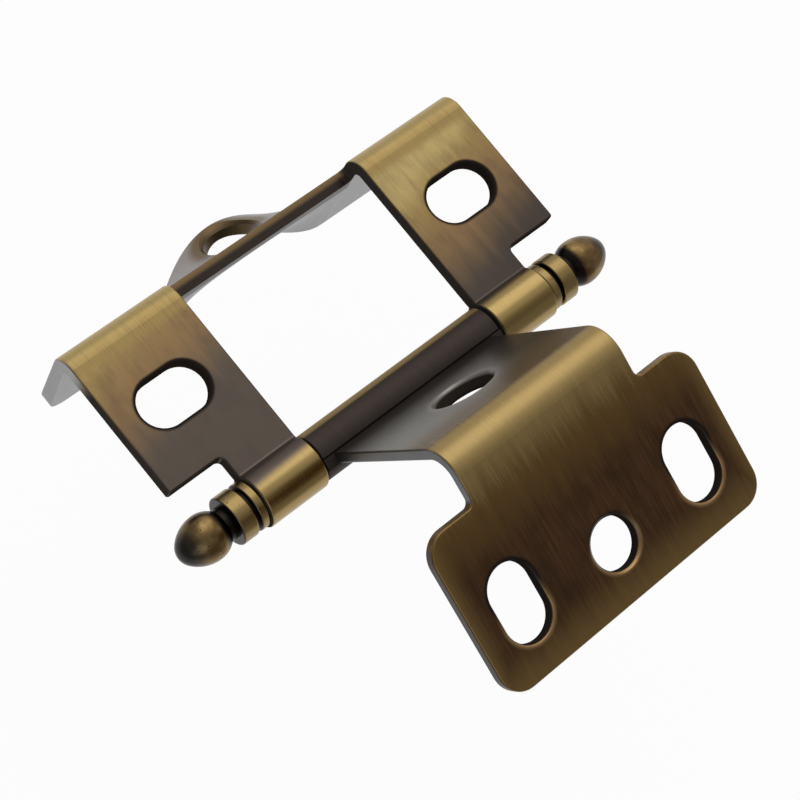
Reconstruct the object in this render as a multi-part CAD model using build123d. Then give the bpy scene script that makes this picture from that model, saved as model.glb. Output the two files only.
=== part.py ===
from build123d import *
import math
import os

# Inset cabinet hinge: a frame leaf and a door leaf, each folded from one sheet, turning on a ball-tipped pin.
# Origin at the middle of the pin axis. +Y along the pin, +Z square to the arms of the frame leaf on the
# side of the door, +X towards the room, so the cabinet frame and its arms lie on the -X side.

# Driving dimensions, in millimetres and degrees.

# The pin and how the pieces run on it.
pin_diameter = 3.3
pin_chamfer = 0.4
pin_seat_in_tip = 6.2
frame_bore_clearance = 0.02
door_bore_clearance = 0.05
tip_bore_clearance = 0.01
knuckle_end_gap = 0.25
tip_end_gap = 0.10

# What the hinge wraps and how both leaves lie to the pin.
board_thickness = 19.05
board_face_to_pin = 6.40
door_play = 1.40
leaf_face_offset = 1.60
open_angle = 111.4
rolled_edge_radius = 0.25

# Frame leaf.
frame_sheet = 1.90
frame_bend_inner_radius = 0.90
frame_leaf_width = 62.6
window_width = 29.5
notch_width = 7.80
notch_corner_radius = 0.80
arm_corner_radius = 0.35
crease_radius = 0.45
curl_seam_width = 0.18
curl_bite = 0.05
flange_depth = 16.3
flange_corner_radius = 3.2
strip_drop = 4.40
window_corner_radius = 0.90
arm_slot_width = 6.30
arm_slot_from_side = 3.25
arm_slot_from_window = 3.80
arm_slot_from_front = 9.15
arm_slot_round = 0.45

# The pushed-out lip in the middle of the flange.
lip_drop = 0.90
lip_width = 27.2
lip_curl_length = 5.0
lip_tilt = 42.0
lip_sections = 16
lip_outer_power = 1.5
lip_inner_power = 2.2
lip_least_tilt = 0.10
lip_hole_diameter = 7.40
lip_hole_mouth = 9.00
lip_hole_from_top = 6.2

# Door leaf.
door_sheet = 1.50
door_bend_inner_radius = 2.30
neck_width = 25.8
neck_hole_diameter = 6.00
neck_hole_mouth = 8.40
neck_hole_from_pin = 14.8
plate_width = 41.5
plate_from_neck = 7.35
plate_end_from_neck = 28.1
plate_corner_radius = 3.2
shoulder_corner_radius = 0.90
plate_slot_width = 6.35
plate_slot_length = 9.75
plate_slot_from_side = 6.80
plate_slot_from_end = 8.65
plate_hole_diameter = 6.30
plate_hole_from_end = 6.95
plate_hole_round = 0.35

# Ball tips.
thin_ring_diameter = 6.40
thin_ring_length = 1.15
shallow_groove_diameter = 5.40
shallow_groove_length = 0.55
wide_ring_diameter = 6.50
wide_ring_length = 2.25
ring_edge_radius = 0.20
deep_groove_diameter = 4.40
deep_groove_length = 0.95
ball_diameter = 6.10
ball_rear_length = 2.15
ball_nose_length = 4.15
ball_nose_radius = 2.20

# Worked-out positions.

pin_radius = pin_diameter / 2
frame_bore = pin_radius + frame_bore_clearance
door_bore = pin_radius + door_bore_clearance
frame_knuckle_radius = frame_bore + frame_sheet
door_knuckle_radius = door_bore + door_sheet

arm_top = leaf_face_offset
arm_underside = arm_top - frame_sheet
arm_front = -board_face_to_pin
flange_inner = arm_front - board_thickness
flange_outer = flange_inner - frame_sheet
frame_bend_outer_radius = frame_bend_inner_radius + frame_sheet
flange_bottom = arm_top - flange_depth
strip_top = arm_top - strip_drop
frame_half_width = frame_leaf_width / 2
window_half = window_width / 2
knuckle_outer_end = frame_half_width - notch_width
tongue_front = -frame_knuckle_radius - curl_seam_width
arm_slot_length = frame_half_width - arm_slot_from_side - window_half - arm_slot_from_window
arm_slot_middle = frame_half_width - arm_slot_from_side - arm_slot_length / 2
lip_top = strip_top - lip_drop
lip_length = lip_top - flange_bottom

neck_outer_face = leaf_face_offset - door_sheet
door_bend_outer_radius = door_bend_inner_radius + door_sheet
plate_back = board_face_to_pin + board_thickness + door_play
plate_face = plate_back + door_sheet
plate_start = neck_outer_face + plate_from_neck
plate_end = neck_outer_face + plate_end_from_neck
door_knuckle_half = window_half - knuckle_end_gap

tip_start = knuckle_outer_end + tip_end_gap
reach = 4 * (plate_end + frame_leaf_width)
same_place = 0.001


def side_profile(*edges):
    """A closed outline in the plane square to the pin, drawn with X across and Z up."""
    return Plane.XZ * make_face(edges)


def across(profile, y_from, y_to):
    """A side profile carried along the pin between two stations."""
    length = y_to - y_from
    return Pos(0, y_to, 0) * extrude(profile, amount=length)


def at(value, place):
    return abs(value - place) < same_place


def cut_slot(solid, centre, length, width, mouth_radius, turn):
    """A through slot cut down from a face, its mouth rounded by the punch."""
    slot = extrude(SlotOverall(length, width, rotation=turn), amount=width, both=True)
    solid = solid - Pos(centre) * slot
    mouth = solid.edges().filter_by(
        lambda edge: at(edge.center().Z, centre.Z)
        and (edge.center() - centre).length < length / 2 + mouth_radius
    )
    return fillet(mouth, mouth_radius)


def hole_cutter(diameter, mouth_diameter, thickness):
    """A through hole along Z whose conical mouth at Z = 0 takes a flat screw head."""
    through = Cylinder(diameter / 2, 4 * thickness)
    sink = (mouth_diameter - diameter) / 2
    mouth_height = sink + thickness
    mouth = Cone(diameter / 2, mouth_diameter / 2 + thickness, mouth_height)
    return through + Pos(0, 0, thickness - mouth_height / 2) * mouth


def rolled_ends(knuckle, radius):
    """A knuckle with the outer edges of both its ends rounded."""
    ends = knuckle.edges().filter_by(GeomType.CIRCLE).filter_by(lambda edge: at(edge.radius, radius))
    return fillet(ends, rolled_edge_radius)


# Frame leaf.

def folded_frame_sheet():
    """The arms and the flange behind the frame as one bent strip, before it is cut to outline."""
    bend_x = flange_outer + frame_bend_outer_radius
    bend_z = arm_top - frame_bend_outer_radius
    profile = side_profile(
        Line((tongue_front, arm_top), (bend_x, arm_top)),
        CenterArc((bend_x, bend_z), frame_bend_outer_radius, 90, 90),
        Line((flange_outer, bend_z), (flange_outer, flange_bottom)),
        Line((flange_outer, flange_bottom), (flange_inner, flange_bottom)),
        Line((flange_inner, flange_bottom), (flange_inner, bend_z)),
        CenterArc((bend_x, bend_z), frame_bend_inner_radius, 180, -90),
        Line((bend_x, arm_underside), (tongue_front, arm_underside)),
        Line((tongue_front, arm_underside), (tongue_front, arm_top)),
    )
    return across(profile, -frame_half_width, frame_half_width)


def frame_end_outline():
    """The leaf seen along X: the flange with rounded corners and the window down to the strip."""
    height = arm_top - flange_bottom
    flange = Pos(0, flange_bottom + height / 2) * Rectangle(frame_leaf_width, height)
    low_corners = flange.vertices().group_by(Axis.Y)[0]
    flange = fillet(low_corners, flange_corner_radius)
    window_height = arm_top - strip_top
    window = Pos(0, strip_top + window_height) * Rectangle(window_width, 2 * window_height)
    window = fillet(window.vertices().group_by(Axis.Y)[0], window_corner_radius)
    return extrude(Plane.YZ * (flange - window), amount=reach, both=True)


def frame_plan_outline():
    """The leaf seen along Z: each arm narrows to the tongue of its knuckle, clear of the ball tip."""
    arm_depth = arm_front - flange_outer
    arms = Pos(arm_front - arm_depth / 2, 0) * Rectangle(arm_depth, frame_leaf_width)
    tongue_depth = tongue_front - flange_outer
    tongues = Pos(tongue_front - tongue_depth / 2, 0) * Rectangle(tongue_depth, 2 * knuckle_outer_end)
    outline = arms + tongues
    front_corners = outline.vertices().filter_by(
        lambda v: at(v.X, arm_front) and at(abs(v.Y), frame_half_width)
    )
    outline = fillet(front_corners, arm_corner_radius)
    notch_corners = outline.vertices().filter_by(
        lambda v: at(v.X, arm_front) and at(abs(v.Y), knuckle_outer_end)
    )
    outline = fillet(notch_corners, notch_corner_radius)
    return extrude(outline, amount=reach, both=True)


def frame_knuckle():
    """One knuckle: the tongue curled over the pin until its end meets the arm underneath."""
    tongue_underside = arm_underside + curl_bite
    tongue_height = arm_top - tongue_underside
    tongue_middle = Pos(tongue_front / 2, tongue_underside + tongue_height / 2)
    section = Circle(frame_knuckle_radius) + tongue_middle * Rectangle(-tongue_front, tongue_height)
    crease = section.vertices().filter_by(
        lambda v: at(v.Y, arm_top) and tongue_front + same_place < v.X < 0
    )
    section = fillet(crease, crease_radius)
    seam_height = curl_seam_width + curl_bite
    seam = Pos(tongue_front / 2, tongue_underside - seam_height / 2)
    section -= seam * Rectangle(-tongue_front, seam_height)
    section -= Circle(frame_bore)
    knuckle = across(Plane.XZ * section, window_half, knuckle_outer_end)
    return rolled_ends(knuckle, frame_knuckle_radius)


def lip_place(down, tilt, depth):
    """A point of the lip's section, by its way down the outer face and its depth in the sheet."""
    curl_radius = lip_curl_length / tilt
    turn = tilt * min(1.0, down / lip_curl_length)
    straight = max(0.0, down - lip_curl_length)
    x = flange_outer - curl_radius * (1 - math.cos(turn)) - straight * math.sin(turn) + depth * math.cos(turn)
    z = lip_top - curl_radius * math.sin(turn) - straight * math.cos(turn) - depth * math.sin(turn)
    return x, z


def lip_section(y):
    """The flange's section at one station of the lip: it curls out below the strip, then runs straight."""
    fall_off = 1 - min(1.0, abs(2 * y / lip_width)) ** 2
    outer_tilt = math.radians(max(lip_least_tilt, lip_tilt * fall_off**lip_outer_power))
    inner_tilt = math.radians(max(lip_least_tilt, lip_tilt * fall_off**lip_inner_power))
    stops = (0, lip_curl_length / 2, lip_curl_length, lip_length)
    outer = [lip_place(down, outer_tilt, 0) for down in stops]
    inner = [lip_place(down, inner_tilt, frame_sheet) for down in stops]
    face = make_face([
        ThreePointArc(*outer[:3]),
        Line(*outer[2:]),
        Line(outer[-1], inner[-1]),
        Line(*inner[2:]),
        ThreePointArc(*inner[:3]),
        Line(inner[0], outer[0]),
    ])
    return Pos(0, y, 0) * (Plane.XZ * face)


def pushed_out_lip():
    half = lip_width / 2
    step = lip_width / lip_sections
    stations = [-half + index * step for index in range(lip_sections + 1)]
    lip = loft([lip_section(y).face() for y in stations])
    hole_x, hole_z = lip_place(lip_hole_from_top, math.radians(lip_tilt), 0)
    hole = hole_cutter(lip_hole_diameter, lip_hole_mouth, frame_sheet)
    return lip - Pos(hole_x, 0, hole_z) * Rot(Y=lip_tilt - 90) * hole


def make_frame_leaf():
    leaf = folded_frame_sheet() & frame_end_outline() & frame_plan_outline()
    outer_sides = leaf.edges().filter_by(
        lambda edge: at(edge.center().Z, arm_top) and at(abs(edge.center().Y), frame_half_width)
    )
    leaf = fillet(outer_sides, rolled_edge_radius)
    window_sides = leaf.edges().filter_by(
        lambda edge: at(edge.center().Z, arm_top) and at(abs(edge.center().Y), window_half)
    )
    leaf = fillet(window_sides, rolled_edge_radius)
    lip_gap = Pos(flange_inner, 0, flange_bottom) * Box(4 * frame_sheet, lip_width, 2 * lip_length)
    leaf = leaf - lip_gap + pushed_out_lip()
    leaf = leaf + frame_knuckle() + mirror(frame_knuckle(), about=Plane.XZ)
    for side in (-1, 1):
        centre = Vector(arm_front - arm_slot_from_front, side * arm_slot_middle, arm_top)
        leaf = cut_slot(leaf, centre, arm_slot_length, arm_slot_width, arm_slot_round, turn=90)
    return leaf


# Door leaf, drawn with its neck along +Z and its plate along +X, then swung to the open angle.

def folded_door_sheet():
    bend_x = neck_outer_face + door_bend_outer_radius
    bend_z = plate_face - door_bend_outer_radius
    profile = side_profile(
        Line((neck_outer_face, door_bore), (neck_outer_face, bend_z)),
        CenterArc((bend_x, bend_z), door_bend_outer_radius, 180, -90),
        Line((bend_x, plate_face), (plate_end, plate_face)),
        Line((plate_end, plate_face), (plate_end, plate_back)),
        Line((plate_end, plate_back), (bend_x, plate_back)),
        CenterArc((bend_x, bend_z), door_bend_inner_radius, 90, 90),
        Line((leaf_face_offset, bend_z), (leaf_face_offset, door_bore)),
        Line((leaf_face_offset, door_bore), (neck_outer_face, door_bore)),
    )
    return across(profile, -plate_width / 2, plate_width / 2)


def door_plan_outline():
    """The leaf seen along the neck: the plate with its corners, and the narrower neck behind it."""
    plate_depth = plate_end - plate_start
    plate = Pos(plate_start + plate_depth / 2, 0) * Rectangle(plate_depth, plate_width)
    plate = fillet(plate.vertices(), plate_corner_radius)
    neck_depth = plate_start + plate_depth / 2 - neck_outer_face
    neck = Pos(neck_outer_face + neck_depth / 2, 0) * Rectangle(neck_depth, neck_width)
    outline = plate + neck
    inner_corners = outline.vertices().filter_by(
        lambda v: abs(v.X - plate_start) < shoulder_corner_radius / 2
        and abs(abs(v.Y) - neck_width / 2) < shoulder_corner_radius / 2
    )
    outline = fillet(inner_corners, shoulder_corner_radius)
    return extrude(outline, amount=reach, both=True)


def door_knuckle():
    """The middle knuckle, curled round the door side of the pin until its end meets the neck's outer face."""
    ring = Circle(door_knuckle_radius)
    stub = Pos(leaf_face_offset - door_sheet / 2, door_knuckle_radius / 2) * Rectangle(
        door_sheet, door_knuckle_radius
    )
    section = ring + stub
    seam = Pos(neck_outer_face - curl_seam_width / 2, door_knuckle_radius)
    section -= seam * Rectangle(curl_seam_width, 2 * door_knuckle_radius)
    section -= Circle(door_bore)
    knuckle = across(Plane.XZ * section, -door_knuckle_half, door_knuckle_half)
    return rolled_ends(knuckle, door_knuckle_radius)


def make_door_leaf():
    leaf = folded_door_sheet() & door_plan_outline()
    plate_ends = leaf.edges().filter_by(
        lambda edge: at(edge.center().X, plate_end) and at(edge.center().Y, 0)
    )
    leaf = fillet(plate_ends, rolled_edge_radius)
    leaf = leaf + door_knuckle()
    bore = Cylinder(door_bore, reach, rotation=(90, 0, 0))
    leaf = leaf - bore
    neck_hole = hole_cutter(neck_hole_diameter, neck_hole_mouth, door_sheet)
    leaf = leaf - Pos(neck_outer_face, 0, neck_hole_from_pin) * Rot(Y=-90) * neck_hole
    for side in (-1, 1):
        slot_y = side * (plate_width / 2 - plate_slot_from_side)
        centre = Vector(plate_end - plate_slot_from_end, slot_y, plate_face)
        leaf = cut_slot(leaf, centre, plate_slot_length, plate_slot_width, plate_hole_round, turn=0)
    hole_mouth = plate_hole_diameter + 2 * plate_hole_round
    hole = hole_cutter(plate_hole_diameter, hole_mouth, door_sheet)
    leaf = leaf - Pos(plate_end - plate_hole_from_end, 0, plate_face) * hole
    return Rot(Y=open_angle - 90) * leaf


# Pin and ball tips.

def make_pin():
    length = 2 * (tip_start + pin_seat_in_tip)
    pin = Cylinder(pin_radius, length, rotation=(90, 0, 0))
    return chamfer(pin.edges().filter_by(GeomType.CIRCLE), pin_chamfer)


def make_ball_tip():
    """A turned tip: radius along X, length along Y, turned about the pin axis."""
    thin_end = tip_start + thin_ring_length
    wide_start = thin_end + shallow_groove_length
    wide_end = wide_start + wide_ring_length
    ball_start = wide_end + deep_groove_length
    ball_middle = ball_start + ball_rear_length
    ball_end = ball_middle + ball_nose_length
    bore = pin_radius + tip_bore_clearance
    socket_end = tip_start + pin_seat_in_tip
    thin_radius = thin_ring_diameter / 2
    shallow_radius = shallow_groove_diameter / 2
    wide_radius = wide_ring_diameter / 2
    deep_radius = deep_groove_diameter / 2
    ball_radius = ball_diameter / 2
    nose_centre = ball_nose_length - ball_nose_radius
    flank_radius = ball_radius**2 + nose_centre**2 - ball_nose_radius**2
    flank_radius /= 2 * (ball_radius - ball_nose_radius)
    flank_angle = math.degrees(math.atan2(nose_centre, flank_radius - ball_radius))
    outline = make_face([
        Polyline(
            (bore, tip_start),
            (thin_radius, tip_start),
            (thin_radius, thin_end),
            (shallow_radius, thin_end),
            (shallow_radius, wide_start),
            (wide_radius, wide_start),
            (wide_radius, wide_end),
            (deep_radius, wide_end),
            (deep_radius, ball_start),
        ),
        TangentArc((ball_radius, ball_middle), (deep_radius, ball_start), tangent=(0, -1)),
        CenterArc((ball_radius - flank_radius, ball_middle), flank_radius, 0, flank_angle),
        CenterArc((0, ball_middle + nose_centre), ball_nose_radius, flank_angle, 90 - flank_angle),
        Polyline(
            (0, ball_end),
            (0, socket_end),
            (bore, socket_end),
            (bore, tip_start),
        ),
    ])
    ring_edges = outline.vertices().filter_by(
        lambda v: abs(v.X - thin_radius) < tip_bore_clearance or abs(v.X - wide_radius) < tip_bore_clearance
    )
    outline = fillet(ring_edges, ring_edge_radius)
    return revolve(outline, axis=Axis.Y)


right_ball_tip = make_ball_tip()
nodes = {
    "frame_leaf": make_frame_leaf(),
    "door_leaf": make_door_leaf(),
    "hinge_pin": make_pin(),
    "left_ball_tip": Rot(Z=180) * right_ball_tip,
    "right_ball_tip": right_ball_tip,
}

os.makedirs("parts", exist_ok=True)
for name, solid in nodes.items():
    export_step(solid, f"parts/{name}.step")
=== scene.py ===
import math
import bpy
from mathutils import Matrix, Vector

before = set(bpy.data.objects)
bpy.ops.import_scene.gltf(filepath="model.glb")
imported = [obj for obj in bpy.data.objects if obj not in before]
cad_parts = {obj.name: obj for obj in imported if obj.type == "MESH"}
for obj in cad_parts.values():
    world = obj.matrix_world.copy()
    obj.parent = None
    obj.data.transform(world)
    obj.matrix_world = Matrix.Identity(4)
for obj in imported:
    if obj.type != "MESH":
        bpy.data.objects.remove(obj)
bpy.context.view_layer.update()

bpy.ops.object.select_all(action="DESELECT")

# Frame leaf: steel sheet stamped, folded over the edge of the cabinet frame and curled at its front into
# two knuckles, then plated with brass, darkened, and relieved with a belt that leaves fine lines square to
# the pin. The belt takes the dark skin off the fold and the knuckles first, and the sheared edges are dark.
# Some tones are painted light and shade: reflections of the room on the arms, the knuckles, the flange and
# the lip, a highlight on the fold, and shade on the strip and in the slots and the lip's hole.

rub_and_highlight_gold = (0.420, 0.315, 0.130, 1.0)
fold_gold = (0.292, 0.203, 0.078, 1.0)
arm_brown = (0.232, 0.146, 0.070, 1.0)
arm_dark = (0.098, 0.078, 0.063, 1.0)
arm_darkest = (0.066, 0.052, 0.044, 1.0)
arm_edge_dark = (0.046, 0.040, 0.035, 1.0)
painted_hole_shade = (0.022, 0.017, 0.014, 1.0)
knuckle_gold = (0.325, 0.228, 0.088, 1.0)
knuckle_dark_reflection = (0.130, 0.080, 0.024, 1.0)
flange_brown = (0.178, 0.144, 0.105, 1.0)
flange_reflection_grey = (0.255, 0.250, 0.252, 1.0)
lip_reflection_grey = (0.270, 0.245, 0.235, 1.0)
lip_brown = (0.140, 0.092, 0.045, 1.0)
lip_hole_shade_brown = (0.088, 0.060, 0.031, 1.0)
strip_top_shade = (0.030, 0.024, 0.021, 1.0)

# Places on the sheet, in metres from the middle of the pin.
arm_underside = -0.00030
arm_front = -0.00640
flange_outer = -0.02735
strip_top = -0.00280
strip_foot = -0.00440
slot_middle_x = -0.01555
slot_middle_y = 0.02330
slot_half_run = 0.00160
slot_radius = 0.00315
lip_hole_x = -0.02908
lip_hole_z = -0.00989
lip_hole_radius = 0.00370

# The lines of the belt, in metres and shares, and the gloss.
belt_line_pitch = 0.00022
belt_line_length = 0.0045
belt_line_depth = 0.000004
belt_line_detail = 4.0
belt_line_dullness = 0.14
belt_line_cut = (0.54, 0.64)
arm_line_depth = 0.5
arm_line_share = 0.28
leaf_roughness = 0.32
knuckle_polish = -0.12
wall_specular = 0.0

# Streaks and patches of the dark skin, in waves per metre along X, Y and Z, and the shares of dark tones.
streak_waves = (70.0, 900.0, 70.0)
streak_reach = 0.004
patch_waves = (260.0, 420.0, 260.0)
patch_detail = 6.0
patch_cut = (0.42, 0.70)
arm_patch_share = 0.24
dark_reflection_share = 0.5

# How much the tones slant along the knuckles, across each arm, and from one arm to the other.
knuckle_slant = 0.040
arm_slant = 0.28
arm_shift = -0.125

# Where a tone starts and where it is full, in metres along X.
arm_to_knuckle = (-0.0025, -0.0012)
rim_to_gold = (-0.0230, -0.0190)
gold_to_brown = (-0.0210, -0.0145)
brown_to_dark = (-0.0155, -0.0065)
crest_to_gold = (-0.0268, -0.0250)
fold_to_arm = (-0.0240, -0.0226)
band_back = (0.0003, 0.0011)
band_front = (0.0022, 0.0014)
barrel_to_arm = (-0.0040, -0.0045)
flange_to_lip = (-0.02745, -0.02975)
strip_back = (-0.02695, -0.02625)
arm_to_fold_end = (-0.0205, -0.0245)

# The same along Y.
left_to_right_arm = (-0.010, 0.030)
arm_to_window = (0.01485, 0.01465)
slot_to_outer_side = (0.0300, 0.0310)

# The same along Z.
band_foot = (0.0, 0.0010)
arm_to_below = (-0.0001, -0.0005)
fold_to_flange = (-0.0015, -0.0075)
fold_foot = (-0.0022, -0.0016)
lip_to_strip = (-0.0052, -0.0044)

# The same by the distance from a face or from the wall of a hole.
outer_face_skin = (0.0006, 0.0002)
arm_end_skin = (0.0015, 0.0006)
slot_wall_to_shade = (0.00065, 0.00025)
lip_hole_rub = (0.0026, 0.0010)
lip_hole_to_shade = (0.0006, 0.0001)

# The same by how much the surface faces along an axis: 1 along it, 0 square to it and -1 against it.
faces_back = (-0.3, -0.7)
fold_faces_back = (-0.3, -0.5)
faces_along = (0.55, 0.90)


def add_node(tree, kind, **settings):
    node = tree.nodes.new(kind)
    for name, value in settings.items():
        setattr(node, name, value)
    return node


def feed(tree, source, socket):
    """Links a socket, or sets it when it is given a plain number or colour."""
    if isinstance(source, (int, float, tuple)):
        socket.default_value = source
    else:
        tree.links.new(source, socket)


def maths(tree, operation, *values):
    node = add_node(tree, "ShaderNodeMath", operation=operation)
    for value, socket in zip(values, node.inputs):
        feed(tree, value, socket)
    return node.outputs["Value"]


def fade(tree, value, start, full):
    """0 up to the start and 1 from the full place on, with soft ends, whichever of the two is higher."""
    node = add_node(tree, "ShaderNodeMapRange", interpolation_type="SMOOTHSTEP")
    feed(tree, value, node.inputs["Value"])
    node.inputs["From Min"].default_value = start
    node.inputs["From Max"].default_value = full
    return node.outputs["Result"]


def both(tree, first, *others):
    share = first
    for mask in others:
        share = maths(tree, "MULTIPLY", share, mask)
    return share


def without(tree, mask):
    return maths(tree, "SUBTRACT", 1.0, mask)


def blend(tree, factor, first, second):
    """From the first colour to the second; the node's sockets share names but have own identifiers."""
    node = add_node(tree, "ShaderNodeMix", data_type="RGBA")
    inputs = {socket.identifier: socket for socket in node.inputs}
    outputs = {socket.identifier: socket for socket in node.outputs}
    feed(tree, factor, inputs["Factor_Float"])
    feed(tree, first, inputs["A_Color"])
    feed(tree, second, inputs["B_Color"])
    return outputs["Result_Color"]


def grain(tree, place, waves, detail=3.0):
    """A noise with its own number of waves per metre along each axis."""
    mapping = add_node(tree, "ShaderNodeMapping")
    mapping.inputs["Scale"].default_value = waves
    feed(tree, place, mapping.inputs["Vector"])
    noise = add_node(tree, "ShaderNodeTexNoise")
    noise.inputs["Scale"].default_value = 1.0
    noise.inputs["Detail"].default_value = detail
    feed(tree, mapping.outputs["Vector"], noise.inputs["Vector"])
    return noise.outputs["Fac"]


def distance(tree, value, place):
    return maths(tree, "ABSOLUTE", maths(tree, "SUBTRACT", value, place))


def length_of(tree, first, *others):
    total = maths(tree, "POWER", first, 2.0)
    for side in others:
        total = maths(tree, "ADD", total, maths(tree, "POWER", side, 2.0))
    return maths(tree, "SQRT", total)


def hole_gap(tree, along, across, half_run, radius):
    """How far a place lies outside the wall of a round-ended hole; below zero in the hole."""
    past_run = maths(tree, "SUBTRACT", maths(tree, "ABSOLUTE", along), half_run)
    past_run = maths(tree, "MAXIMUM", past_run, 0.0)
    return maths(tree, "SUBTRACT", length_of(tree, past_run, across), radius)


def start_material(name, turn=0.0):
    """A metal with its places and facings, turned about the pin so that a bent leaf can be read flat."""
    material = bpy.data.materials.new(name)
    material.use_nodes = True
    tree = material.node_tree
    shader = tree.nodes["Principled BSDF"]
    shader.inputs["Metallic"].default_value = 1.0
    coordinates = add_node(tree, "ShaderNodeTexCoord")
    turned = []
    for output in ("Object", "Normal"):
        mapping = add_node(tree, "ShaderNodeMapping", vector_type="VECTOR")
        mapping.inputs["Rotation"].default_value = (0.0, turn, 0.0)
        feed(tree, coordinates.outputs[output], mapping.inputs["Vector"])
        parts = add_node(tree, "ShaderNodeSeparateXYZ")
        feed(tree, mapping.outputs["Vector"], parts.inputs["Vector"])
        turned.append((mapping.outputs["Vector"], parts.outputs))
    (place, axes), (_, facing) = turned
    return material, tree, shader, place, axes, facing


def belt_finish(tree, shader, place, rubbed, roughness):
    """The lines that the belt leaves across the pin where it rubbed: a fine bump and a change of gloss."""
    waves = (1 / belt_line_length, 1 / belt_line_pitch, 1 / belt_line_length)
    lines = grain(tree, place, waves, belt_line_detail)
    bump = add_node(tree, "ShaderNodeBump")
    bump.inputs["Distance"].default_value = belt_line_depth
    feed(tree, rubbed, bump.inputs["Strength"])
    feed(tree, lines, bump.inputs["Height"])
    feed(tree, bump.outputs["Normal"], shader.inputs["Normal"])
    dulled = maths(tree, "MULTIPLY_ADD", lines, belt_line_dullness, roughness)
    feed(tree, dulled, shader.inputs["Roughness"])
    return both(tree, fade(tree, lines, *belt_line_cut), rubbed)


def coat(node_name, material):
    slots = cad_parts[node_name].data.materials
    slots.clear()
    slots.append(material)


frame_brass, tree, shader, place, axes, facing = start_material("frame_leaf_antique_brass")
side = maths(tree, "ABSOLUTE", axes["Y"])

# The knuckles are polished, and the lines of the belt stay on the arms.
slanted = maths(tree, "MULTIPLY_ADD", axes["Y"], knuckle_slant, axes["X"])
on_knuckle = fade(tree, slanted, *arm_to_knuckle)
on_arm = both(tree, fade(tree, axes["Z"], strip_top, arm_underside), without(tree, on_knuckle))
roughness = maths(tree, "MULTIPLY_ADD", on_knuckle, knuckle_polish, leaf_roughness)
lines = belt_finish(tree, shader, place, maths(tree, "MULTIPLY", on_arm, arm_line_depth), roughness)

# Each arm goes from gold at the fold through brown to nearly black at its front: partly the relieved
# finish, and partly a painted reflection of the room, bright at the fold and dark at the front. The crest
# of the fold is brightest, partly rubbed and partly a painted highlight.
streaks = grain(tree, place, streak_waves)
arm_side = maths(tree, "MULTIPLY", maths(tree, "SIGN", axes["Y"]), slot_middle_y)
off_middle = maths(tree, "SUBTRACT", axes["Y"], arm_side)
drift = maths(tree, "MULTIPLY_ADD", off_middle, arm_slant, axes["X"])
drift = maths(tree, "MULTIPLY_ADD", streaks, streak_reach, drift)
drift = maths(tree, "MULTIPLY_ADD", arm_side, arm_shift, drift)
skin_and_dark_reflection = blend(tree, fade(tree, axes["Y"], *left_to_right_arm), arm_dark, arm_darkest)
colour = blend(tree, fade(tree, drift, *rim_to_gold), rub_and_highlight_gold, fold_gold)
colour = blend(tree, fade(tree, drift, *gold_to_brown), colour, arm_brown)
colour = blend(tree, fade(tree, drift, *brown_to_dark), colour, skin_and_dark_reflection)
patches = grain(tree, place, patch_waves, patch_detail)
colour = blend(tree, both(tree, fade(tree, patches, *patch_cut), arm_patch_share), colour, arm_darkest)
fold_colour = blend(tree, fade(tree, axes["X"], *crest_to_gold), rub_and_highlight_gold, fold_gold)
colour = blend(tree, fade(tree, axes["X"], *fold_to_arm), fold_colour, colour)

# Each knuckle is gold, with a brown band just in front of its top, a painted reflection of the room's
# dark side.
colour = blend(tree, on_knuckle, colour, knuckle_gold)
dark_reflection_band = both(tree, fade(tree, axes["X"], *band_back), fade(tree, axes["X"], *band_front))
dark_reflection_band = both(tree, dark_reflection_band, fade(tree, axes["Z"], *band_foot), dark_reflection_share)
colour = blend(tree, dark_reflection_band, colour, knuckle_dark_reflection)
colour = blend(tree, maths(tree, "MULTIPLY", lines, arm_line_share), colour, arm_dark)

# The flange is brown on its outer face, and grey on its inside as a painted reflection of the white
# room.
colour = blend(tree, fade(tree, axes["Z"], *fold_to_flange), colour, flange_brown)
below = fade(tree, axes["Z"], *arm_to_below)
behind = fade(tree, axes["X"], *barrel_to_arm)
on_outer_face = fade(tree, distance(tree, axes["X"], flange_outer), *outer_face_skin)
outer_face = both(tree, on_outer_face, fade(tree, facing["X"], *faces_back))
inside = both(tree, below, behind, without(tree, outer_face))
on_fold = both(tree, fade(tree, facing["X"], *fold_faces_back), fade(tree, axes["Z"], *fold_foot))
inside = both(tree, inside, without(tree, on_fold))
colour = blend(tree, inside, colour, flange_reflection_grey)

# The lip is grey, a painted reflection of the white room, and browner towards its hole, whose wall is
# painted darker as shade.
on_lip = fade(tree, axes["X"], *flange_to_lip)
hole_x = maths(tree, "SUBTRACT", axes["X"], lip_hole_x)
hole_z = maths(tree, "SUBTRACT", axes["Z"], lip_hole_z)
lip_gap = maths(tree, "SUBTRACT", length_of(tree, hole_x, axes["Y"], hole_z), lip_hole_radius)
lip_colour = blend(tree, fade(tree, lip_gap, *lip_hole_rub), lip_reflection_grey, lip_brown)
lip_colour = blend(tree, fade(tree, lip_gap, *lip_hole_to_shade), lip_colour, lip_hole_shade_brown)
colour = blend(tree, on_lip, colour, lip_colour)

# The strip that closes the window is brown at its back edge and nearly black on top, painted shade
# where its rounded top turns away from the light.
strip = both(tree, fade(tree, side, *arm_to_window), fade(tree, axes["Z"], *lip_to_strip), behind)
strip_colour = blend(tree, fade(tree, axes["X"], *strip_back), lip_brown, strip_top_shade)
colour = blend(tree, strip, colour, strip_colour)

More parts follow.
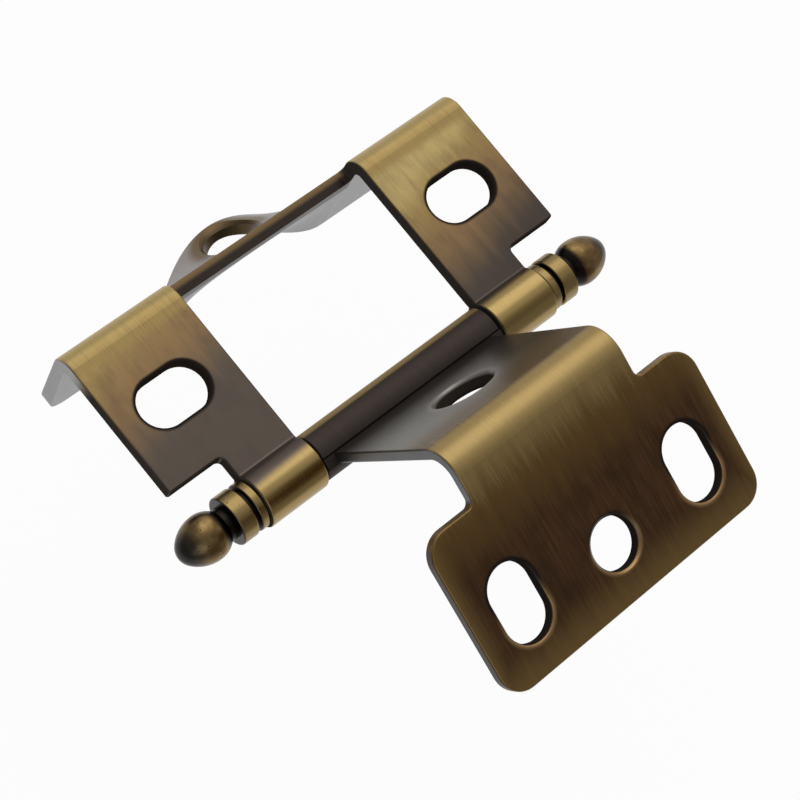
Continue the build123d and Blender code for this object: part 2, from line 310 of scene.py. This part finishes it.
# The walls of the slots are painted dark as shade, and the sheared edges are dark; neither has any shine.
slot_x = maths(tree, "SUBTRACT", axes["X"], slot_middle_x)
slot_gap = hole_gap(tree, off_middle, slot_x, slot_half_run, slot_radius)
slot_wall_shade = fade(tree, slot_gap, *slot_wall_to_shade)
arm_edge = fade(tree, maths(tree, "ABSOLUTE", facing["Y"]), *faces_along)
at_front = fade(tree, distance(tree, axes["X"], arm_front), *arm_end_skin)
arm_end = both(tree, fade(tree, facing["X"], *faces_along), at_front)
edge = both(tree, maths(tree, "MAXIMUM", arm_edge, arm_end), fade(tree, axes["Z"], strip_foot, strip_top))
# The ends of the folds at the outer sides are grey, a painted reflection of the white room.
on_outer_side = fade(tree, side, *slot_to_outer_side)
fold_end_reflection = both(tree, arm_edge, on_outer_side, fade(tree, axes["X"], *arm_to_fold_end))
edge = both(tree, edge, without(tree, fold_end_reflection))
colour = blend(tree, fold_end_reflection, colour, flange_reflection_grey)
colour = blend(tree, edge, colour, arm_edge_dark)
colour = blend(tree, slot_wall_shade, colour, painted_hole_shade)
feed(tree, colour, shader.inputs["Base Color"])
dark = maths(tree, "MAXIMUM", slot_wall_shade, edge)
feed(tree, without(tree, dark), shader.inputs["Metallic"])
shader.inputs["Specular IOR Level"].default_value = wall_specular
coat("frame_leaf", frame_brass)

# Door leaf: thinner steel sheet of the same make, curled round the pin at one end and bent square at the
# other into the plate that lies on the back of the door. Its plate keeps most of the dark skin, and the
# bend and the rim of the plate are rubbed through to brass.

curl_brown = (0.056, 0.044, 0.038, 1.0)
neck_shade = (0.085, 0.077, 0.070, 1.0)
neck_reflection_grey = (0.215, 0.202, 0.180, 1.0)
neck_mouth_highlight = (0.290, 0.270, 0.250, 1.0)
neck_brown = (0.142, 0.094, 0.042, 1.0)
neck_edge_reflection = (0.110, 0.108, 0.108, 1.0)
bend_gold = (0.325, 0.226, 0.090, 1.0)
plate_brown = (0.078, 0.040, 0.021, 1.0)
plate_red = (0.132, 0.068, 0.031, 1.0)
plate_dark = (0.050, 0.027, 0.016, 1.0)
plate_olive = (0.160, 0.091, 0.031, 1.0)
plate_rim = (0.260, 0.165, 0.058, 1.0)
mouth_copper_highlight = (0.330, 0.200, 0.090, 1.0)

# Places on the leaf when its neck stands upright, in metres from the middle of the pin.
door_lean = math.radians(21.4)
plate_slot_depth = 0.01955
plate_slot_side = 0.01395
plate_slot_half_run = 0.00170
plate_slot_radius = 0.003175
plate_hole_depth = 0.02125
plate_hole_radius = 0.00315
neck_hole_height = 0.01480
neck_hole_radius = 0.00300
round_half_run = 0.0

# Shares and slants of the tones, the dullness of the curl, and the plate's grain in waves per metre.
bend_line_depth = 0.5
bend_line_share = 0.55
curl_dullness = 0.20
neck_slant = 0.5
right_shade_share = 0.8
plate_patch_share = 0.45
plate_rim_share = 0.85
plate_rim_streak_reach = 0.002
neck_highlight_share = 0.7
fibre_waves = (200.0, 4200.0, 200.0)
fibre_detail = 4.0
fibre_cut = (0.25, 0.80)

# Where a tone starts and where it is full, in metres up the neck.
neck_to_curl = (0.0040, 0.0030)
curl_to_neck = (0.0028, 0.0040)
shade_to_reflection = (0.0060, 0.0170)
shade_to_warm = (0.0060, 0.0090)
grey_to_warm_right = (0.0180, 0.0240)
grey_to_warm_top = (0.0180, 0.0238)
top_to_right_shade = (0.0215, 0.0150)
neck_to_rubbed = (0.0210, 0.0250)
neck_to_bend = (0.0242, 0.0262)
bend_to_plate_face = (0.02385, 0.02585)

# The same square to the neck, which is the way that the plate runs.
curl_highlight_line = (-0.00288, -0.003104)
bend_to_neck_face = (0.0040, 0.0030)
bend_to_skin = (0.0054, 0.0108)
olive_to_skin = (0.0100, 0.0165)
plate_to_bright_lines = (0.0105, 0.0055)
plate_to_end_rim = (0.0237, 0.0294)

# The same along the pin.
left_to_right_shade = (0.0035, 0.0090)
neck_to_plate_edge = (0.0165, 0.0180)
plate_to_side_rim = (0.01815, 0.02115)

# The same from the middle of the plate's round hole, away from the bend.
mouth_shade_to_highlight = (-0.0032, 0.0010)

# The same by the distance from the wall of a hole.
plate_mouth_to_light = (0.00075, 0.00025)
plate_wall_to_shade = (0.00015, 0.00003)
neck_mouth_to_highlight = (0.0022, 0.0012)
neck_wall_to_shade = (0.00115, 0.00070)

door_brass, tree, shader, place, axes, facing = start_material("door_leaf_antique_brass", -door_lean)
height = axes["Z"]
depth = axes["X"]
side = maths(tree, "ABSOLUTE", axes["Y"])

# The curl is dull, and the lines of the belt are on the bend and the plate.
rubbed = maths(tree, "MULTIPLY", fade(tree, height, *neck_to_rubbed), bend_line_depth)
on_curl = fade(tree, height, *neck_to_curl)
roughness = maths(tree, "MULTIPLY_ADD", on_curl, curl_dullness, leaf_roughness)
lines = belt_finish(tree, shader, place, rubbed, roughness)

# The curl is dark with one painted highlight along its rounded edge. The neck goes from painted shade next
# to the curl through grey, a painted reflection of the white room, to brown and gold, and its right part
# is darkened as painted shade.
past_curl = fade(tree, height, *curl_to_neck)
colour = blend(tree, fade(tree, depth, *curl_highlight_line), curl_brown, bend_gold)
colour = blend(tree, past_curl, colour, neck_shade)
colour = blend(tree, fade(tree, height, *shade_to_reflection), colour, neck_reflection_grey)
slanted = maths(tree, "MULTIPLY_ADD", axes["Y"], neck_slant, height)
neck_warm = both(tree, fade(tree, slanted, *grey_to_warm_right), fade(tree, height, *shade_to_warm))
neck_warm = maths(tree, "MAXIMUM", neck_warm, fade(tree, height, *grey_to_warm_top))
colour = blend(tree, neck_warm, colour, neck_brown)
on_right = fade(tree, axes["Y"], *left_to_right_shade)
right_shade = both(tree, on_right, fade(tree, height, *top_to_right_shade))
colour = blend(tree, both(tree, right_shade, past_curl, right_shade_share), colour, curl_brown)
colour = blend(tree, fade(tree, height, *neck_to_bend), colour, bend_gold)

# The plate is brown and red in fibres, darker in patches, olive next to the bend and rubbed at its rim.
streaks = grain(tree, place, streak_waves)
drift = maths(tree, "MULTIPLY_ADD", streaks, streak_reach, depth)
fibres = grain(tree, place, fibre_waves, fibre_detail)
plate_skin = blend(tree, fade(tree, fibres, *fibre_cut), plate_brown, plate_red)
patches = grain(tree, place, patch_waves, patch_detail)
plate_patches = both(tree, fade(tree, patches, *patch_cut), plate_patch_share)
plate_skin = blend(tree, plate_patches, plate_skin, plate_dark)
plate_skin = blend(tree, fade(tree, drift, *olive_to_skin), plate_olive, plate_skin)
colour = blend(tree, fade(tree, drift, *bend_to_skin), colour, plate_skin)
rim_drift = maths(tree, "MULTIPLY_ADD", streaks, plate_rim_streak_reach, depth)
rim = maths(tree, "MAXIMUM", fade(tree, rim_drift, *plate_to_end_rim), fade(tree, side, *plate_to_side_rim))
colour = blend(tree, both(tree, rim, plate_rim_share), colour, plate_rim)
bright_lines = both(tree, lines, fade(tree, depth, *plate_to_bright_lines), bend_line_share)
colour = blend(tree, bright_lines, colour, rub_and_highlight_gold)

# The mouths of the plate's openings have a copper painted highlight on the side away from the bend and
# painted shade on the side towards it, and their walls are painted dark as shade.
slot_x = maths(tree, "SUBTRACT", depth, plate_slot_depth)
slot_y = maths(tree, "SUBTRACT", side, plate_slot_side)
slot_gap = hole_gap(tree, slot_x, slot_y, plate_slot_half_run, plate_slot_radius)
hole_x = maths(tree, "SUBTRACT", depth, plate_hole_depth)
round_gap = hole_gap(tree, hole_x, axes["Y"], round_half_run, plate_hole_radius)
plate_gap = maths(tree, "MINIMUM", slot_gap, round_gap)
on_plate = fade(tree, height, *bend_to_plate_face)
mouth_light_and_shade = blend(tree, fade(tree, hole_x, *mouth_shade_to_highlight), painted_hole_shade, mouth_copper_highlight)
colour = blend(tree, both(tree, fade(tree, plate_gap, *plate_mouth_to_light), on_plate), colour, mouth_light_and_shade)
plate_wall_shade = both(tree, fade(tree, plate_gap, *plate_wall_to_shade), on_plate)

# The mouth of the neck's hole has a grey painted highlight all round, and its wall is painted dark as
# shade.
hole_z = maths(tree, "SUBTRACT", height, neck_hole_height)
neck_gap = hole_gap(tree, hole_z, axes["Y"], round_half_run, neck_hole_radius)
on_neck = fade(tree, depth, *bend_to_neck_face)
neck_mouth_lit = both(tree, fade(tree, neck_gap, *neck_mouth_to_highlight), on_neck, neck_highlight_share)
colour = blend(tree, neck_mouth_lit, colour, neck_mouth_highlight)
neck_wall_shade = both(tree, fade(tree, neck_gap, *neck_wall_to_shade), on_neck)

# The sheared edges are grey along the neck, a painted reflection of the white room, and dark at the
# sides of the plate.
edge = both(tree, fade(tree, maths(tree, "ABSOLUTE", facing["Y"]), *faces_along), past_curl)
edge_colour = blend(tree, fade(tree, side, *neck_to_plate_edge), neck_edge_reflection, curl_brown)
colour = blend(tree, edge, colour, edge_colour)
dark = maths(tree, "MAXIMUM", plate_wall_shade, neck_wall_shade)
colour = blend(tree, dark, colour, painted_hole_shade)
feed(tree, colour, shader.inputs["Base Color"])
feed(tree, without(tree, dark), shader.inputs["Metallic"])
shader.inputs["Specular IOR Level"].default_value = wall_specular
coat("door_leaf", door_brass)

# Hinge pin: a length of drawn steel rod, pressed into the ball tips at both ends and hidden by the
# knuckles. Only its bare middle shows in the seams of the curls.

pin_grey = (0.22, 0.20, 0.18, 1.0)
pin_brown = (0.10, 0.08, 0.06, 1.0)
drawn_waves = (3000.0, 40.0, 3000.0)
pin_roughness = 0.42

pin_steel, tree, shader, place, *_ = start_material("drawn_pin_steel")
drawn = grain(tree, place, drawn_waves)
feed(tree, blend(tree, drawn, pin_grey, pin_brown), shader.inputs["Base Color"])
shader.inputs["Roughness"].default_value = pin_roughness
coat("hinge_pin", pin_steel)

# Ball tips: turned on a lathe with two rings, two grooves and an egg-shaped ball, then darkened and
# rubbed, so the grooves stay nearly black and the rings and the ball show bronze with small pits.

tip_bronze = (0.130, 0.076, 0.029, 1.0)
tip_gold = (0.250, 0.170, 0.070, 1.0)
tip_black = (0.016, 0.013, 0.011, 1.0)
tip_nose_shade = (0.034, 0.031, 0.028, 1.0)
ring_gold = (0.262, 0.182, 0.072, 1.0)
tip_roughness = 0.30

# Clouds, pits and turning lines, in waves per metre.
cloud_waves = (520.0, 520.0, 520.0)
cloud_detail = 6.0
cloud_cut = (0.35, 0.65)
pit_waves = (2600.0, 2600.0, 2600.0)
pit_detail = 1.0
pit_cut = (0.70, 0.78)
turning_waves = (60.0, 9000.0, 60.0)
turning_depth = 0.000006
turning_strength = 0.35

# Where a tone starts and where it is full: along the pin, out from it in metres, and by facing.
ball_to_rings = (0.0292, 0.0286)
ball_to_groove = (0.0300, 0.0292)
ring_to_groove = (0.00310, 0.00275)
side_to_nose_shade = (0.10, 0.75)

tip_brass, tree, shader, place, axes, facing = start_material("turned_tip_brass")
along = maths(tree, "ABSOLUTE", axes["Y"])
radius = length_of(tree, axes["X"], axes["Z"])
clouds = grain(tree, place, cloud_waves, cloud_detail)
colour = blend(tree, fade(tree, clouds, *cloud_cut), tip_bronze, tip_gold)
colour = blend(tree, fade(tree, along, *ball_to_rings), colour, ring_gold)
# The outer end of each ball is painted dark grey as shade.
outward = both(tree, facing["Y"], maths(tree, "SIGN", axes["Y"]))
colour = blend(tree, fade(tree, outward, *side_to_nose_shade), colour, tip_nose_shade)
in_groove = both(tree, fade(tree, radius, *ring_to_groove), fade(tree, along, *ball_to_groove))
colour = blend(tree, in_groove, colour, tip_black)
pits = grain(tree, place, pit_waves, pit_detail)
colour = blend(tree, fade(tree, pits, *pit_cut), colour, tip_black)
feed(tree, colour, shader.inputs["Base Color"])
turning = grain(tree, place, turning_waves)
bump = add_node(tree, "ShaderNodeBump")
bump.inputs["Strength"].default_value = turning_strength
bump.inputs["Distance"].default_value = turning_depth
feed(tree, turning, bump.inputs["Height"])
feed(tree, bump.outputs["Normal"], shader.inputs["Normal"])
shader.inputs["Roughness"].default_value = tip_roughness
for name in ("left_ball_tip", "right_ball_tip"):
    coat(name, tip_brass)

# The studio: a white floor well below the hinge, which is held up as on its cabinet frame, and a white
# room. The room is brighter on one side, behind the flange and above it.

floor_height = -0.045
floor_size = 0.5
floor_paint = (0.85, 0.85, 0.85, 1.0)
floor_glow = 1.0
floor_glow_share = 0.95

bpy.ops.mesh.primitive_plane_add(size=floor_size, location=(0.0, 0.0, floor_height))
floor = bpy.context.object
floor.name = "studio_floor"
bpy.ops.object.transform_apply(location=True, rotation=True, scale=True)
floor_white = bpy.data.materials.new("studio_floor_white")
floor_white.use_nodes = True
tree = floor_white.node_tree
tree.nodes.clear()
paint = add_node(tree, "ShaderNodeBsdfDiffuse")
paint.inputs["Color"].default_value = floor_paint
glow = add_node(tree, "ShaderNodeEmission")
glow.inputs["Strength"].default_value = floor_glow
rays = add_node(tree, "ShaderNodeLightPath")
seen = maths(tree, "MAXIMUM", rays.outputs["Is Camera Ray"], rays.outputs["Is Glossy Ray"])
seen = maths(tree, "MAXIMUM", seen, rays.outputs["Is Transmission Ray"])
mix = add_node(tree, "ShaderNodeMixShader")
share_socket, paint_socket, glow_socket = mix.inputs
feed(tree, maths(tree, "MULTIPLY", seen, floor_glow_share), share_socket)
feed(tree, paint.outputs["BSDF"], paint_socket)
feed(tree, glow.outputs["Emission"], glow_socket)
result = add_node(tree, "ShaderNodeOutputMaterial")
feed(tree, mix.outputs["Shader"], result.inputs["Surface"])
floor.data.materials.append(floor_white)

room_white = (1.0, 1.0, 1.0, 1.0)
bright_side = (-0.62, 0.52, 0.58)
bright_spread = (0.20, 0.85)
bright_level = 0.80
dim_level = 0.32

world = bpy.data.worlds.new("white_room")
bpy.context.scene.world = world
world.use_nodes = True
tree = world.node_tree
sky = tree.nodes["Background"]
sky.inputs["Color"].default_value = room_white
coordinates = add_node(tree, "ShaderNodeTexCoord")
toward = add_node(tree, "ShaderNodeVectorMath", operation="DOT_PRODUCT")
direction_socket, bright_socket, *_ = toward.inputs
feed(tree, coordinates.outputs["Generated"], direction_socket)
feed(tree, bright_side, bright_socket)
brightness = fade(tree, toward.outputs["Value"], *bright_spread)
level = maths(tree, "MULTIPLY_ADD", brightness, bright_level - dim_level, dim_level)
rays = add_node(tree, "ShaderNodeLightPath")
seen = maths(tree, "MAXIMUM", rays.outputs["Is Camera Ray"], rays.outputs["Is Transmission Ray"])
feed(tree, maths(tree, "MAXIMUM", level, seen), sky.inputs["Strength"])

lamp_size = 0.6
window_place = (-0.45, 0.25, 0.55)
window_watts = 1.3
fill_place = (0.5, -0.5, 0.5)
fill_watts = 0.8


def add_lamp(name, place, watts):
    """A square lamp that is turned to the middle of the pin."""
    bpy.ops.object.light_add(type="AREA", location=place)
    lamp = bpy.context.object
    lamp.name = name
    lamp.data.size = lamp_size
    lamp.data.energy = watts
    aim = -Vector(place)
    lamp.rotation_euler = aim.to_track_quat("-Z", "Y").to_euler()


add_lamp("window_light", window_place, window_watts)
add_lamp("fill_light", fill_place, fill_watts)

# The camera looks down on the hinge from the side of one ball tip, where the photograph was taken from.

camera_place = (0.029421, -0.123222, 0.259001)
camera_turn = (math.radians(20.788), math.radians(-15.875), math.radians(48.999))
sensor_millimetres = 36.0
lens_millimetres = 108.0
nearest_seen = 0.01

bpy.ops.object.camera_add(location=camera_place, rotation=camera_turn)
camera = bpy.context.object
camera.data.sensor_fit = "HORIZONTAL"
camera.data.sensor_width = sensor_millimetres
camera.data.lens = lens_millimetres
camera.data.clip_start = nearest_seen
bpy.context.scene.camera = camera
bpy.context.scene.view_settings.view_transform = "Standard"
